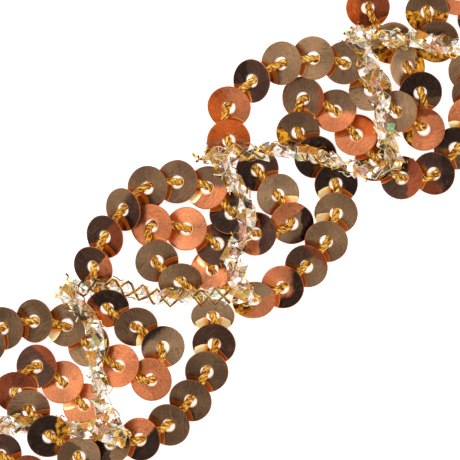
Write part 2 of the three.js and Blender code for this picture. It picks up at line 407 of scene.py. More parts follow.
sequin = {
    "radius": 3.0, "hole": 0.88, "sides": 56, "bend": (-0.10, 0.16), "glow": (0.15, 0.55), "seeds": 90,
    # how far the rim wanders at a radius of wanderAt, and how uneven the face is
    "rimWander": 0.018, "wanderAt": 1.5, "rimScale": 2.2, "uneven": 0.05, "unevenScale": 0.5,
    "farOff": 99.0,  # a place that nothing reaches
    # radius and height of each ring of points, from the hole's edge over the face and back below
    "rings": [(0.86, 0.0), (0.88, 0.05), (0.96, 0.085), (1.06, 0.05), (1.5, 0.05), (2.1, 0.05), (2.6, 0.05),
              (2.88, 0.05), (2.97, 0.035), (3.0, 0.0), (2.97, -0.04), (2.85, -0.05), (1.8, -0.05),
              (0.92, -0.05)],
}
# copper, light copper, orange, bronze, light bronze, dark bronze, red brown, black, gold, brown black.
# The foil is copper-coloured metal, and each tone paints in what it reflects: bright surroundings in
# copper and light copper, grey ones in the bronzes, dark ones in black and brown black, copper in
# orange and red brown, and the yarn in gold.
tonesAndReflections = {
    "C": linear(208, 121, 75), "L": linear(214, 130, 84), "O": linear(212, 98, 36), "B": linear(142, 108, 76),
    "G": linear(162, 127, 93), "D": linear(110, 81, 56), "R": linear(140, 66, 36), "K": linear(44, 28, 20),
    "Y": linear(214, 142, 30), "S": linear(76, 50, 38),
}


def splitsOf(word):
    # the tones of one sequin, its copper foil with painted reflections, and where the second and third start
    parts = word.split("/")
    rows = []
    for part in parts[1:3]:
        side = part[1:].rstrip("0123456789")
        angle = fromPicture(compass[side])
        tenths = int(part[1 + len(side):] or 0)
        rows.append((tonesAndReflections[part[0]], (math.cos(angle), math.sin(angle), tenths * sequin["radius"] / 10)))
    while len(rows) < 2:
        rows.append((tonesAndReflections[parts[0][0]], (1, 0, sequin["farOff"])))
    return tonesAndReflections[parts[0][0]], rows


def sequinPoints(disc, dice):
    # the points of one sequin, and where each lies on its face
    bendWay, bend = dice.uniform(0, math.pi), dice.uniform(*sequin["bend"])
    seed = dice.uniform(0, sequin["seeds"])
    rimScale, faceScale = sequin["rimScale"], sequin["unevenScale"]
    points, places = [], []
    for radius, height in sequin["rings"]:
        for i in range(sequin["sides"]):
            angle = 2 * math.pi * i / sequin["sides"]
            c, s = math.cos(angle), math.sin(angle)
            wander = noise.noise(Vector((c * rimScale, s * rimScale, seed)))
            wander = wander * sequin["rimWander"] * radius / sequin["wanderAt"]
            x, y = c * (radius + wander), s * (radius + wander)
            along = (x * math.cos(bendWay) + y * math.sin(bendWay)) / sequin["radius"]
            z = height + bend * along * along
            z += sequin["uneven"] * noise.noise(Vector((x * faceScale, y * faceScale, seed)))
            points.append(disc["centre"] + disc["turn"] @ Vector((x, y, z)))
            places.append((x, y, seed))
    return points, places


def sequinPiece(name, discs, material, dice):
    points, faces, values = [], [], {"place": []}
    sides, rings = sequin["sides"], len(sequin["rings"])
    for n, disc in enumerate(discs):
        first = len(points)
        own, places = sequinPoints(disc, dice)
        points += own
        for ring in range(rings):
            for i in range(sides):
                one, two = first + ring * sides, first + (ring + 1) % rings * sides
                j = (i + 1) % sides
                faces.append((one + i, two + i, two + j, one + j))
        tone, ((toneTwo, splitTwo), (toneThree, splitThree)) = splitsOf(disc["word"])
        toNext = (sequin["farOff"], 0.0, 0.0)
        if n + 1 < len(discs):
            local = disc["turn"].inverted() @ (discs[n + 1]["centre"] - disc["centre"])
            toNext = (local.x, local.y, float(paleReflection.get(disc["name"], 0)))
        sheenWay = dice.uniform(0, math.pi)
        whole = {
            "tone": tone, "toneTwo": toneTwo, "toneThree": toneThree, "splitTwo": splitTwo,
            "splitThree": splitThree, "nextOne": toNext,
            "glow": (math.cos(sheenWay), math.sin(sheenWay), dice.uniform(*sequin["glow"])),
        }
        values["place"] += places
        for key, value in whole.items():
            values.setdefault(key, []).extend([value] * len(own))
    return meshPiece(name, points, faces, values, material, True)


foil = {
    "metal": 0.86, "rough": 0.3, "roughWander": 0.14, "strength": 0.88, "bump": 0.2,
    # scale, detail and roughness of each grain, and how much it shows
    "fine": (4.2, 3.0, 0.6), "fineDepth": 0.9, "fineBump": 0.3, "broad": (0.55, 2.0),
    "rings": (1.0, 2.0), "ringScale": 7.0, "ringDepth": 0.42, "ringBump": 0.5,
    "rays": (1.0, 3.0, 0.65), "rayScale": 6.0, "rayDrift": 0.25, "rayDepth": 0.45, "rayBump": 0.2,
    "brush": (1.0, 4.0, 0.65), "brushAcross": 5.5, "brushAlong": 0.9, "brushDepth": 2.4, "brushLeast": 0.3,
    "patch": (1.0, 1.0), "patchScale": 0.5, "patchSeed": 7.0, "patchEdge": (0.46, 0.62),
    # the border between two painted reflection tones: how soft it is, and how far it wanders
    "blur": (0.08, 0.55), "blurSeed": 7.13, "borderWander": 1.6, "borderFray": 0.3,
    "goldEdge": (0.29, 0.35), "flecks": (1.5, 3.0, 0.6), "fleckEdge": (0.36, 0.64),
    "fleckLight": (-0.95, 1.7),
    "speck": linear(112, 80, 60), "specks": (3.2, 4.0, 0.7), "speckEdge": (0.44, 0.68),
    "speckCover": (0.16, 0.34),
    # the painted shade, reflections and highlight beside the next sequin's edge: Gap is in mm from that edge,
    # Aside in mm from the yarn's line
    "edgeWander": 0.25, "shade": 0.85, "shadeGap": (0.5, 0.1),
    "amber": linear(206, 128, 24), "amberGap": (0.7, 0.2), "amberAside": (1.6, 0.4), "amberCover": (0.4, 0.5),
    "paleGold": linear(255, 226, 164), "deepGold": linear(240, 146, 34), "paleGap": (0.62, 0.56),
    "paleAside": (0.6, 0.75), "paleEnd": (2.5, 2.3), "paleTurn": (0.8, 1.5),
    "paleMark": (0.2, 0.8), "bothMark": (1.5, 2.5),
    "line": linear(206, 94, 26), "lineGap": (0.22, 0.16), "lineEnd": (-0.45, -0.35), "lineAside": (-0.4, 0.4),
    "lineFade": (0.35, 0.65), "lineCover": 0.75, "lineThrown": 0.5,
    "bright": linear(244, 178, 112), "brightGap": (0.12, 0.15), "brightEnd": (0.24, 0.21),
    "brightAside": (0.3, 0.6), "brightCover": 0.7,
    # the bare rim and the hole's burr, which catch the light on one side
    "litEdge": (-0.6, 0.5), "rim": linear(196, 104, 58), "rimEdge": (2.87, 2.94), "rimCover": (0.25, 0.6),
    "burr": linear(246, 204, 160), "burrEdge": (1.02, 0.95), "burrCover": (0.15, 0.8),
    "unlit": (0, 0, 0), "thrown": 0.42,
}


def foilMaterial():
    material, paint = newMaterial("sequin foil")
    place = attribute(paint, "place")
    x, y, seed = axes(place)
    radius = (x * x + y * y) ** 0.5
    across, along = x / radius, y / radius
    fine = grain(place, *foil["fine"])
    broad = grain(place, *foil["broad"])
    rings = grain(joined(radius * foil["ringScale"], seed, 0.0), *foil["rings"])
    rayX, rayY = across * foil["rayScale"], along * foil["rayScale"]
    rays = grain(joined(rayX, rayY, seed + radius * foil["rayDrift"]), *foil["rays"])

    # painted reflections: each face is split into up to three tones, with soft wandering borders
    blur = raised(paint.sum("FRACT", seed * foil["blurSeed"]), *foil["blur"])
    face = attribute(paint, "tone")
    for extra, split in (("toneTwo", "splitTwo"), ("toneThree", "splitThree")):
        wayX, wayY, start = axes(attribute(paint, split))
        far = x * wayX + y * wayY - start + (broad - 0.5) * foil["borderWander"]
        far = far + (fine - 0.5) * foil["borderFray"] + (rays - 0.5) * blur
        face = mixed(step(far, 0 - blur, blur), face, attribute(paint, extra))

    # painted sheen: each face is lighter in two opposite sectors and darker across them, as brushed foil
    # shines
    glowX, glowY, glowDepth = axes(attribute(paint, "glow"))
    facing = across * glowX + along * glowY
    light = foil["strength"] * (1 + (facing * facing - 0.5) * glowDepth)
    light = light * (1 + (fine - 0.5) * foil["fineDepth"])
    light = light * (1 + (rings - 0.5) * foil["ringDepth"])
    light = light * (1 + (rays - 0.5) * foil["rayDepth"])
    # parts of the faces are brushed in one direction, and the brushing's streaks of light and dark are
    # painted sheen
    brushX = (x * glowX + y * glowY) * foil["brushAcross"]
    brushY = (y * glowX - x * glowY) * foil["brushAlong"]
    brush = grain(joined(brushX, brushY, seed), *foil["brush"])
    patch = joined(x * foil["patchScale"], y * foil["patchScale"], seed + foil["patchSeed"])
    brushed = step(grain(patch, *foil["patch"]), *foil["patchEdge"])
    light = light * (1 + (brush - 0.5) * (foil["brushLeast"] + brushed) * foil["brushDepth"])
    # a gold tone is the yarn seen in the foil, so it has the yarn's flecks
    red, green, blue = axes(face)
    golden = step((green - blue) / red, *foil["goldEdge"])
    flecks = step(grain(place, *foil["flecks"]), *foil["fleckEdge"])
    light = light * (1 + golden * raised(flecks, *foil["fleckLight"]))
    face = dimmed(face, light)
    specks = step(grain(place, *foil["specks"]) * 0.5 + brush * 0.5, *foil["speckEdge"])
    face = mixed(specks * raised(brushed, *foil["speckCover"]), face, colour(foil["speck"]))

    # what the next sequin's edge and the yarn throw back onto the face, painted into its colour: shade,
    # reflections and a highlight
    nextX, nextY, side = axes(attribute(paint, "nextOne"))
    gapX, gapY = x - nextX, y - nextY
    gap = (gapX * gapX + gapY * gapY) ** 0.5 - sequin["radius"]
    reach = (nextX * nextX + nextY * nextY) ** 0.5
    aside = (y * nextX - x * nextY) / reach
    wavy = gap + (broad - 0.5) * foil["edgeWander"]
    # painted shadow: the face is darker just beside the next sequin's edge
    face = dimmed(face, 1 - step(wavy, *foil["shadeGap"]) * (1 - foil["shade"]))
    # painted reflection of the yarn: amber beside its line, near the next sequin's edge
    yarnReflection = step(wavy, *foil["amberGap"]) * step(aside.size(), *foil["amberAside"])
    face = mixed(yarnReflection * raised(fine, *foil["amberCover"]), face, colour(foil["amber"]))
    # painted reflection: a pale gold patch, deeper gold towards the yarn's line, on the side set for each
    # sequin
    both = step(side, *foil["bothMark"])
    away = aside.size() * both + aside * side * (1 - both)
    onSide = step(away, *foil["paleAside"]) * step(away, *foil["paleEnd"])
    onSide = onSide * step(wavy, *foil["paleGap"]) * step(side.size(), *foil["paleMark"])
    towardsPale = step(away + fine - 0.5, *foil["paleTurn"])
    shine = mixed(towardsPale, colour(foil["deepGold"]), colour(foil["paleGold"]))
    face = mixed(onSide, face, shine)
    # painted reflection: an orange line along the next sequin's edge, stronger on one side of the yarn
    line = step(wavy, *foil["lineGap"]) * step(wavy, *foil["lineEnd"])
    line = line * raised(step(aside, *foil["lineAside"]), *foil["lineFade"])
    face = mixed(line * (1 - onSide) * foil["lineCover"], face, colour(foil["line"]))
    # painted highlight: a thin bright copper line just outside the next sequin's edge, on one side of the
    # yarn
    bright = step(wavy, *foil["brightGap"]) * step(wavy, *foil["brightEnd"])
    bright = bright * step(aside, *foil["brightAside"])
    face = mixed(bright * foil["brightCover"], face, colour(foil["bright"]))

    lit = step(across * glowX - along * glowY, *foil["litEdge"])
    for edge in ("rim", "burr"):
        shown = step(radius, *foil[edge + "Edge"]) * raised(lit, *foil[edge + "Cover"])
        face = mixed(shown, face, colour(foil[edge]))

    height = rings * foil["ringBump"] + fine * foil["fineBump"] + rays * foil["rayBump"]
    # the painted pale reflection and orange line also glow, so they stay bright where the face is shaded
    thrown = mixed(onSide, colour(foil["unlit"]), shine)
    thrown = mixed(line * (1 - onSide) * foil["lineThrown"], thrown, colour(foil["line"]))
    shader = paint.node("BsdfPrincipled", None, {
        "Base Color": face, "Metallic": foil["metal"],
        "Roughness": foil["rough"] + (fine - 0.5) * foil["roughWander"],
        "Normal": bumped(height, foil["bump"]),
        "Emission Color": thrown, "Emission Strength": foil["thrown"],
    })
    finish(paint, shader)
    return material


# Yarn: three metallic plies twisted together. It rises through each hole, over that sequin's
# front and under the next one's back.

yarn = {
    "ply": 0.33, "plies": 3, "apart": 0.24, "twist": 2.6, "step": 0.2, "sides": 10, "tail": 4.5, "seeds": 50,
    "wander": 0.24, "low": 0.6, "off": 0.5, "beneath": 0.62, "under": (2.85, 3.25),
    # a ply swells and thins along its length, and is thin at its ends
    "swell": 0.12, "swellScale": 1.7, "endThick": (0.35, 0.22), "fibreTurn": 0.5,
}


def yarnLine(route, discs, dice):
    start = discs[0]["length"] - yarn["tail"]
    end = discs[-1]["length"] + yarn["tail"]
    count = round((end - start) / yarn["step"])
    asides = [dice.uniform(-1, 1) * yarn["wander"] for _ in discs]
    line, n = [], -1
    for k in range(count + 1):
        length = start + (end - start) * k / count
        while n + 1 < len(discs) and discs[n + 1]["length"] <= length:
            n += 1
        point, heading = placeOn(route, length)
        if n < 0 or n + 1 == len(discs):
            disc = discs[max(n, 0)]
            part = abs(length - disc["length"]) / yarn["tail"]
            point.z += disc["centre"].z * (1 - part) ** 2 + yarn["low"] * part * (2 - part)
            aside = asides[max(n, 0)] * (1 - part)
        else:
            one, two = discs[n], discs[n + 1]
            part = (length - one["length"]) / (two["length"] - one["length"])
            ease = part * part * (3 - 2 * part)
            aside = asides[n] * (1 - ease) + asides[n + 1] * ease
            fromOne = (point - one["centre"]).xy.length
            toTwo = (point - two["centre"]).xy.length
            over = faceHeight(one, point) + yarn["off"] * min(fromOne / sequin["hole"], 1)
            under = faceHeight(two, point) - yarn["beneath"] * min(toTwo / sequin["hole"], 1)
            nearest, farthest = yarn["under"]
            hidden = min(max((farthest - toTwo) / (farthest - nearest), 0), 1)
            hiddenHeight = min(under, over + (under - over) * ease)
            point.z = over * (1 - hidden) + hiddenHeight * hidden
        point.x -= math.sin(heading) * aside
        point.y += math.cos(heading) * aside
        point.z = max(point.z, yarn["low"])
        line.append(point)
    return line


def plyTube(line, phase, seed, points, faces, values):
    first, length, sides = len(points), 0.0, yarn["sides"]
    for k, point in enumerate(line):
        ahead = (line[min(k + 1, len(line) - 1)] - line[max(k - 1, 0)]).normalized()
        side = Vector((-ahead.y, ahead.x, 0)).normalized()
        up = ahead.cross(side)
        length += (point - line[k - 1]).length if k else 0
        spin = phase + 2 * math.pi * length / yarn["twist"]
        centre = point + (side * math.cos(spin) + up * math.sin(spin)) * yarn["apart"]
        swell = yarn["swell"] * noise.noise(Vector((length * yarn["swellScale"], seed, phase)))
        fromEnd = min(k, len(line) - 1 - k)
        thick = yarn["ply"] * (1 + swell) * min(1, raised(fromEnd, *yarn["endThick"]))
        for i in range(sides):
            angle = 2 * math.pi * i / sides
            points.append(centre + (side * math.cos(angle) + up * math.sin(angle)) * thick)
            values["fibre"].append((length, angle - spin * yarn["fibreTurn"], seed + phase))
    for k in range(len(line) - 1):
        for i in range(sides):
            j = (i + 1) % sides
            one, two = first + k * sides, first + (k + 1) * sides
            faces.append((one + i, one + j, two + j, two + i))
    faces.append(tuple(first + i for i in reversed(range(sides))))
    last = first + (len(line) - 1) * sides
    faces.append(tuple(last + i for i in range(sides)))


def yarnPiece(name, line, material, seed):
    points, faces, values = [], [], {"fibre": []}
    for ply in range(yarn["plies"]):
        plyTube(line, 2 * math.pi * ply / yarn["plies"], seed, points, faces, values)
    return meshPiece(name, points, faces, values, material, True)


gold = {
    "stops": [(0.22, linear(60, 26, 2)), (0.4, linear(160, 88, 6)), (0.54, linear(216, 138, 16)),
              (0.68, linear(250, 188, 56)), (0.84, linear(255, 234, 150))],
    "metal": 0.7, "rough": 0.34, "bump": 0.5, "middle": 0.54,
    "flecks": (1.3, 2.0, 0.6), "fleckAlong": 2.0, "fleckAround": 1.2, "fleckDepth": 1.9,
    "strands": (1.0, 2.0, 0.6), "strandAlong": 1.1, "strandTwist": 0.5, "strandAround": 4.5,
    "strandDepth": 0.7,
}


def yarnMaterial():
    material, paint = newMaterial("gold yarn")
    length, angle, seed = axes(attribute(paint, "fibre"))
    turnX = paint.sum("COSINE", angle)
    turnY = paint.sum("SINE", angle)
    around = gold["fleckAround"]
    where = joined(length * gold["fleckAlong"], turnX * around, turnY * around + seed)
    flecks = grain(where, *gold["flecks"])
    around = gold["strandAround"]
    twisted = length * gold["strandAlong"] + angle * gold["strandTwist"]
    strands = grain(joined(twisted, turnX * around, turnY * around + seed), *gold["strands"])
    # the yarn's gold with painted glints and shade: flecks and strands run it from dark brown to pale gold
    # along the fibres
    tone = (flecks - 0.5) * gold["fleckDepth"] + (strands - 0.5) * gold["strandDepth"] + gold["middle"]
    face = paint.node("ValToRGB", {"stops": gold["stops"]}, {"Fac": tone})
    shader = paint.node("BsdfPrincipled", None, {
        "Base Color": face, "Metallic": gold["metal"], "Roughness": gold["rough"],
        "Normal": bumped(strands, gold["bump"]),
    })
    finish(paint, shader)
    return material


dice = random.Random(strung["seed"])
foilPaint = foilMaterial()
yarnPaint = yarnMaterial()
strings = []
for side, runs in (("left", leftRuns), ("right", rightRuns)):
    route = routeOf([p for row in runs for p in row["points"]])
    strings.append({"side": side, "route": route, "discs": sequinsOn(side, runs, route, dice)})
settle([disc for string in strings for disc in string["discs"]])
for string in strings:
    side, route, discs = string["side"], string["route"], string["discs"]
    sequins = sequinPiece(side + "_sequins", discs, foilPaint, dice)
    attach(sequins, "root")
    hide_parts(side + "_sequin_string")
    line = yarnLine(route, discs, dice)
    thread = yarnPiece(side + "_yarn", line, yarnPaint, dice.uniform(0, yarn["seeds"]))
    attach(thread, "root")
    print(side, "string made,", len(discs), "sequins on", round(route["lengths"][-1]), "mm of yarn")


# Film braid: two crumpled strips of clear film and two flat metallic threads, crossing in
# turn, over the sequins from notch to notch. crush is how crumpled that leg is, and under
# names the sequins that lie over it instead.

braidLegs = [
    {"points": [(51.5, 0.5)], "crush": 0.5},
    {"points": [(45.6, -8.6), (39.8, -3.4), (37.6, -0.2), (34.8, 2.8), (32.5, 5.4)], "crush": 0.6},
    {"points": [(31.0, 7.4), (29.7, 4.3), (28.5, 0.9), (26.8, -2.4), (24.5, -4.8)], "crush": 0.9},
    {"points": [(22.2, -9.2), (19.0, -6.9), (17.2, -3.7), (15.5, -0.6), (12.9, 2.7), (9.7, 5.3), (7.1, 7.5)],
     "crush": 0.3},
    {"points": [(5.2, 9.0), (4.8, 3.4), (3.8, 1.1), (2.6, -0.6), (0.5, -1.6), (-1.6, -2.3), (-2.9, -3.5)],
     "crush": 0.85},
    {"points": [(-4.6, -8.0), (-9.7, -3.3), (-12.9, -0.6), (-14.7, 2.1), (-16.2, 4.6), (-17.8, 6.3)],
     "crush": 0.1, "under": ["left loop 1.1"]},
    {"points": [(-21.8, 9.0), (-23.0, 2.4), (-24.6, 0.7), (-26.1, -0.9), (-27.1, -2.8), (-28.5, -4.7)],
     "crush": 0.75},
    {"points": [(-30.4, -10.2), (-32.4, -7.2), (-35.5, -3.5), (-39.2, 0.5)], "crush": 0.7,
     "under": ["right loop 1.7", "right scallop 0.1"]},
    {"points": [(-46.6, 8.2)], "crush": 0.5},
    {"points": [(-51.0, 1.5)]},
]
braid = {
    "step": 0.7, "half": 1.25, "overrun": 1.3, "slope": 0.7, "above": 0.12, "beside": 0.15, "pitch": 4.1,
    # how low it can lie, how far it keeps off a sequin's face, and where it feels for one
    "least": 0.1, "off": 0.08, "feelAlong": (-0.5, 0, 0.5), "feelAcross": (-1, -0.5, 0, 0.5, 1),
    "levelled": 3, "overlap": 0.9,
}


def topAt(x, y, under):
    point, top = Vector((x, y, 0)), braid["least"]
    for string in strings:
        for disc in string["discs"]:
            away = point - disc["centre"]
            if disc["name"] not in under and away.xy.length < sequin["radius"] + braid["beside"]:
                top = max(top, faceHeight(disc, point) + braid["off"])
    return top


def onLeg(leg, reached, aside):
    point, heading = placeOn(leg["route"], reached)
    return point.x - math.sin(heading) * aside, point.y + math.cos(heading) * aside


def braidLeg(row, following):
    route = routeOf([*row["points"], following["points"][0]])
    length = route["lengths"][-1]
    steps = round(length / braid["step"])
    reached = [-braid["overrun"], *(length * i / steps for i in range(steps + 1)), length + braid["overrun"]]
    leg = {"route": route, "crush": row["crush"], "length": length, "reached": reached}
    feels = [(ahead, aside * braid["half"]) for ahead in braid["feelAlong"] for aside in braid["feelAcross"]]
    rests = []
    for at in reached:
        tops = [topAt(*onLeg(leg, at + ahead, aside), row.get("under", [])) for ahead, aside in feels]
        rests.append(max(tops) + braid["above"])
    leg["heights"] = [
        max(rest - abs(other - at) * braid["slope"] for other, rest in zip(reached, rests)) for at in reached
    ]
    return leg


def heightOn(leg, reached):
    spots, heights = leg["reached"], leg["heights"]
    i = 1
    while i < len(spots) - 1 and spots[i] < reached:
        i += 1
    part = min(max((reached - spots[i - 1]) / (spots[i] - spots[i - 1]), 0), 1)
    return heights[i - 1] * (1 - part) + heights[i] * part


def spot(leg, reached, aside, lift):
    x, y = onLeg(leg, reached, aside)
    return Vector((x, y, heightOn(leg, reached) + lift))


legs = [braidLeg(one, two) for one, two in zip(braidLegs, braidLegs[1:])]
for one, two in zip(legs, legs[1:]):
    # two legs meet at one height
    count = braid["levelled"]
    level = max(*one["heights"][-count:], *two["heights"][:count])
    one["heights"][-count:] = [level] * count
    two["heights"][:count] = [level] * count

film = {
    "width": (1.8, 2.8), "widen": (0.7, 0.45), "sway": 0.45, "swayLoss": 0.4, "stray": 0.5,
    "roll": (0.3, 0.8), "lift": 0.1, "rollLift": 0.4, "layerLift": 0.1, "crumple": 0.35,
    "crumpleLeast": 0.3, "slip": 0.22, "step": (0.9, 2.2), "across": 2, "layers": 2, "thickness": 0.03,
    # how many edges are creased on an open leg and on a crushed one. noCrease is the distance
    # that stands for none, and twin is how often a facet keeps the tint of the one before
    "creased": (0.15, 0.5), "creaseWidth": 0.1, "noCrease": 9.0, "shortest": 0.01, "twin": 0.45,
    # how often each tint comes on an open leg and on a crushed one, its colour and how much it covers
    "tints": [
        {"open": 0.72, "crushed": 0.30, "colour": linear(255, 255, 252), "cover": 0.03},
        # a painted highlight: white, nearly solid facets where the film catches the light
        {"open": 0.04, "crushed": 0.14, "colour": linear(255, 255, 250), "cover": 0.85},
        {"open": 0.03, "crushed": 0.09, "colour": linear(252, 226, 150), "cover": 0.6},
        {"open": 0.06, "crushed": 0.09, "colour": linear(240, 176, 158), "cover": 0.5},
        {"open": 0.01, "crushed": 0.01, "colour": linear(150, 214, 160), "cover": 0.5},
        {"open": 0.05, "crushed": 0.18, "colour": linear(206, 158, 60), "cover": 0.65},
        {"open": 0.03, "crushed": 0.10, "colour": linear(120, 80, 24), "cover": 0.8},
        {"open": 0.04, "crushed": 0.13, "colour": linear(228, 148, 30), "cover": 0.8},
        {"open": 0.01, "crushed": 0.05, "colour": linear(70, 40, 12), "cover": 0.85},
    ],
    # the creases' colours: cream and white are painted highlights, gold and orange paint in the yarn behind,
    # dark brown is painted shade
    "creases": [linear(255, 250, 226), linear(255, 255, 255), linear(246, 204, 112), linear(198, 124, 30),
                linear(90, 54, 18)],
    "creaseWeights": (3, 2, 6, 5, 4),
}


def between(crush, whenOpen, whenCrushed):
    return whenOpen * (1 - crush) + whenCrushed * crush


def pickTint(dice, crush):
    weights = [between(crush, tint["open"], tint["crushed"]) for tint in film["tints"]]
    return dice.choices(film["tints"], weights)[0]


def newFacets():
    values = {key: [] for key in ("tint", "fold", "crease", "look")}
    return {"points": [], "known": {}, "faces": [], "values": values}


def addFacet(made, corners, tint, cover, crease=(0, 0, 0), creased=(False, False, False)):
    # a flat triangle. fold gives each place its distance in mm from each creased edge
    keys = [tuple(corner) for corner in corners]
    for key, corner in zip(keys, corners):
        if key not in made["known"]:
            made["known"][key] = len(made["points"])
            made["points"].append(corner)
    made["faces"].append(tuple(made["known"][key] for key in keys))
    area = (corners[1] - corners[0]).cross(corners[2] - corners[0]).length
    for i in range(3):
        far = (corners[(i + 1) % 3] - corners[(i + 2) % 3]).length
        row = [0.0 if shown else film["noCrease"] for shown in creased]
        if creased[i]:
            row[i] = area / max(far, film["shortest"])
        made["values"]["fold"].append(row)
    made["values"]["tint"] += [tint] * 3
    made["values"]["crease"] += [crease] * 3
    made["values"]["look"] += [(cover, 0, 0)] * 3


def thickened(made, thickness):
    # the facets again a little lower, and a wall along every open edge between the two
    points, faces, rows = made["points"], made["faces"], made["values"]
    away = [Vector((0, 0, 0)) for _ in points]
    edges = {}
    for n, (a, b, c) in enumerate(faces):
        normal = (points[b] - points[a]).cross(points[c] - points[a])
        for k, (one, two) in enumerate(((a, b), (b, c), (c, a))):
            away[one] += normal
            if edges.pop((two, one), None) is None:
                edges[one, two] = (3 * n + k, 3 * n + (k + 1) % 3)
    upper, lower = [], []
    for point, way in zip(points, away):
        way = way.normalized() if way.length > 1e-6 else Vector((0, 0, 1))
        upper.append(point + way * thickness / 2)
        lower.append(point - way * thickness / 2)
    count = len(points)
    below = [(c + count, b + count, a + count) for a, b, c in faces]
    walls = [(two, one, one + count, two + count) for one, two in edges]
    order = list(range(3 * len(faces)))
    order += [3 * n + k for n in range(len(faces)) for k in (2, 1, 0)]
    order += [corner for one, two in edges.values() for corner in (two, one, one, two)]
    values = {key: [row[i] for i in order] for key, row in rows.items()}
    return upper + lower, [*faces, *below, *walls], values


def filmStrip(leg, phase, dice, made):
    crush = leg["crush"]
    creaseShare = between(crush, *film["creased"])
    reached, rows = -braid["overlap"], []
    while reached < leg["length"] + braid["overlap"]:
        wave = math.sin(2 * math.pi * reached / braid["pitch"] + phase)
        width = dice.uniform(*film["width"]) * raised(crush, *film["widen"])
        aside = film["sway"] * wave * (1 - film["swayLoss"] * crush)
        aside += dice.uniform(-1, 1) * film["stray"] * crush
        roll = dice.uniform(-1, 1) * raised(crush, *film["roll"])
        lift = film["lift"] + film["rollLift"] * width * abs(math.sin(roll))
        lift += film["layerLift"] * math.cos(phase)
        row = []
        for j in range(film["across"] + 1):
            out = (j / film["across"] - 0.5) * width
            up = lift + out * math.sin(roll)
            up += dice.uniform(0, 1) * film["crumple"] * (film["crumpleLeast"] + crush)
            slip = dice.uniform(-film["slip"], film["slip"])
            row.append(spot(leg, reached + slip, aside + out * math.cos(roll), up))
        rows.append(row)
        reached += dice.uniform(*film["step"])
    for one, two in zip(rows, rows[1:]):
        for j in range(film["across"]):
            quad = [one[j], one[j + 1], two[j + 1], two[j]]
            turn = dice.choice((0, 1))
            quad = quad[turn:] + quad[:turn]
            tint = pickTint(dice, crush)
            for corners in (quad[:3], [quad[2], quad[3], quad[0]]):
                if dice.random() > film["twin"]:
                    tint = pickTint(dice, crush)
                crease = dice.choices(film["creases"], film["creaseWeights"])[0]
                creased = [dice.random() < creaseShare for _ in range(3)]
                addFacet(made, corners, tint["colour"], tint["cover"], crease, creased)


flat = {
    "thickness": 0.06, "tilt": 0.6,
    "gold": linear(232, 176, 70), "dark": linear(116, 70, 30), "green": linear(150, 160, 66),
    "bright": linear(255, 240, 184), "brown": linear(160, 92, 20),
    "metal": 0.75, "rough": 0.26, "bump": 0.3, "streaks": (2400.0, 2.0, 0.6), "flecks": (1700.0, 2.0),
    "fleckEdge": (0.36, 0.66), "light": 0.3, "streakLight": 0.5, "fleckLight": 1.1,
}


def flatThread(line, width, stripes, made, dice):
    # a flat thread with stripes side by side: each has its share of the width, and tints in turn
    sides = []
    for k, point in enumerate(line):
        ahead = line[min(k + 1, len(line) - 1)] - line[max(k - 1, 0)]
        side = Vector((-ahead.y, ahead.x, 0)).normalized()
        tilt = dice.uniform(-flat["tilt"], flat["tilt"])
        sides.append(side * math.cos(tilt) + Vector((0, 0, 1)) * math.sin(tilt))
    for k in range(len(line) - 1):
        start = -0.5
        for share, tints in stripes:
            end, tint = start + share, flat[tints[k % len(tints)]]
            a, b = line[k] + sides[k] * width * start, line[k] + sides[k] * width * end
            c, d = line[k + 1] + sides[k + 1] * width * end, line[k + 1] + sides[k + 1] * width * start
            addFacet(made, [a, b, c], tint, 1.0)
            addFacet(made, [c, d, a], tint, 1.0)
            start = end


# the two threads that cross from edge to edge. sinks and returns are how often they do
crossed = {
    "phases": (0, 0.5), "width": 0.4, "narrow": (0.6, 1.0), "reach": 1.2, "reachLoss": 0.3,
    "stray": (0.08, 0.5),
    "lift": 0.34, "weave": 0.12, "rise": 0.3, "perPitch": 8, "sinks": 0.3, "returns": 0.55,
    "stripes": [(0.34, ["gold"]), (0.6, ["dark"]), (0.06, ["green"])],
    "plain": ["gold", "brown", "dark", "gold"],
}


def crossThread(leg, phase, dice, made):
    # on a crushed leg the thread comes and goes between the folds
    crush = leg["crush"]
    line, reached, shown = [], -braid["overlap"], True
    while reached < leg["length"] + braid["overlap"]:
        turns = reached / braid["pitch"] + phase
        wave = 4 * abs(turns - math.floor(turns + 0.5)) - 1
        aside = crossed["reach"] * wave * (1 - crossed["reachLoss"] * crush)
        aside += dice.uniform(-1, 1) * raised(crush, *crossed["stray"])
        lift = crossed["lift"] + crossed["weave"] * math.sin(4 * math.pi * turns)
        lift += dice.uniform(0, crossed["rise"]) * crush
        if shown:
            line.append(spot(leg, reached, aside, lift))
        reached += braid["pitch"] / crossed["perPitch"]
        change = dice.random()
        if shown and len(line) > 2 and change < crush * crossed["sinks"]:
            threadRun(line, crush, made, dice)
            shown, line = False, []
        elif not shown and change < crossed["returns"]:
            shown = True
    threadRun(line, crush, made, dice)


def threadRun(line, crush, made, dice):
    if dice.random() < crush:
        tint = dice.choice(crossed["plain"])
        width = crossed["width"] * dice.uniform(*crossed["narrow"])
        flatThread(line, width, [(1.0, [tint])], made, dice)
    else:
        flatThread(line, crossed["width"], crossed["stripes"], made, dice)


# short lengths of bright thread that stand out of the braid's edges
edging = {
    "width": 0.16, "inside": 0.1, "wave": 0.25, "wavesPerPitch": 2, "stray": (0.05, 0.3), "lift": 0.25,
    "rise": 0.2, "step": 0.45, "least": 3, "longer": 0.3, "shown": 0.3, "gap": (0.6, 2.0),
    "tints": ["bright", "gold", "brown"],
}


